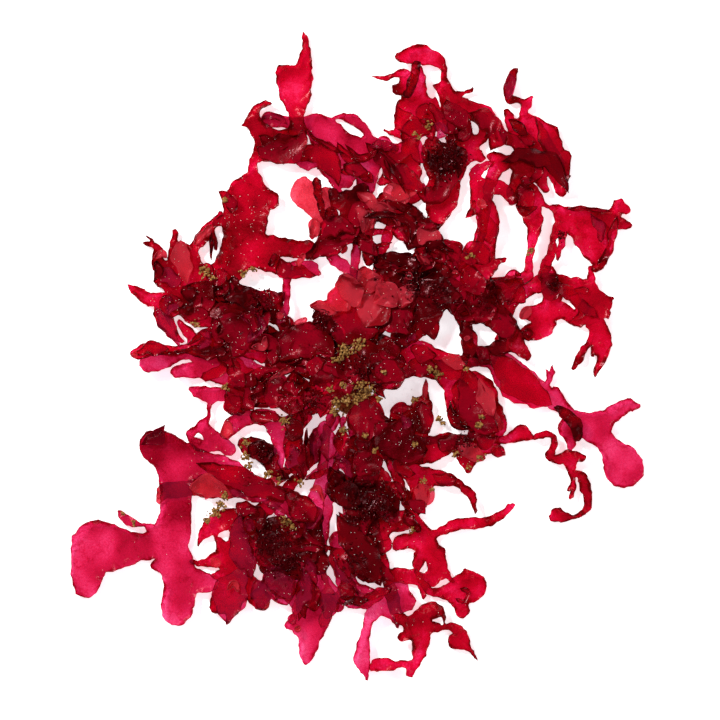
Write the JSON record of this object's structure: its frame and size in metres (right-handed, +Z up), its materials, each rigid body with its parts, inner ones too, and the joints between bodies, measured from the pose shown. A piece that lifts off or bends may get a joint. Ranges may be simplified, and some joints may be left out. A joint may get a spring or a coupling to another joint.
{
  "type": "gracilaria curtissae, a flat-bladed red seaweed plant",
  "caption": "Whole red seaweed plant with thin forked fronds spread flat round a small holdfast, as collected and laid out.",
  "frame": {"origin": "centre of the underside of the holdfast, on the surface that the plant lies on", "axes": "+Z up from the surface, +Y towards the longest frond tip, +X to the right seen from above"},
  "size_m": [0.2578, 0.2916, 0.0192],
  "materials": {
    "crimson_blade": "wet, glossy, translucent",
    "rose_blade": "wet, glossy, translucent",
    "scarlet_blade": "wet, glossy, translucent",
    "maroon_blade": "wet, glossy, almost opaque",
    "holdfast": "matt, tough"
  },
  "bodies": {
    "root": {"holdfast": "holdfast", "frond_pale_left": "rose_blade", "frond_low_left": "rose_blade", "frond_left_mid": "crimson_blade", "frond_left_upper": "crimson_blade", "frond_top_plum": "crimson_blade", "frond_upper_left": "crimson_blade", "blade_pale_pair": "rose_blade", "frond_top_centre": "crimson_blade", "frond_top_cap": "crimson_blade", "frond_top_right": "crimson_blade", "frond_right_upper": "crimson_blade", "frond_right_mid": "crimson_blade", "frond_right_fork": "rose_blade", "frond_right_ribbon": "rose_blade", "frond_low_right": "crimson_blade", "frond_bottom_right": "crimson_blade", "frond_bottom_fan": "crimson_blade", "frond_bottom": "rose_blade", "frond_bottom_mid": "crimson_blade", "frond_low_cluster": "crimson_blade", "blade_low_left_mass": "maroon_blade", "blade_left_lump": "maroon_blade", "blade_band_left": "crimson_blade", "blade_arch": "rose_blade", "blade_low_right": "crimson_blade", "blade_centre_dark": "maroon_blade", "blade_low_rose": "rose_blade", "blade_low_centre": "crimson_blade", "blade_centre_low": "crimson_blade", "blade_right_cluster": "crimson_blade", "blade_slant": "rose_blade", "blade_low_left": "crimson_blade", "frond_lower_left_fork": "rose_blade", "blade_band_right": "crimson_blade", "blade_centre_right": "maroon_blade", "blade_upright_red": "crimson_blade", "blade_left_plum": "maroon_blade", "blade_left_dark": "maroon_blade", "blade_twisted_strap": "rose_blade", "blade_centre_top": "maroon_blade", "blade_ring": "maroon_blade", "blade_oval": "crimson_blade", "blade_light_fan": "scarlet_blade", "blade_small_rose": "rose_blade", "blade_round_lobe": "crimson_blade", "blade_fold_right": "maroon_blade", "blade_curl_top": "maroon_blade"}
  },
  "joints": []
}
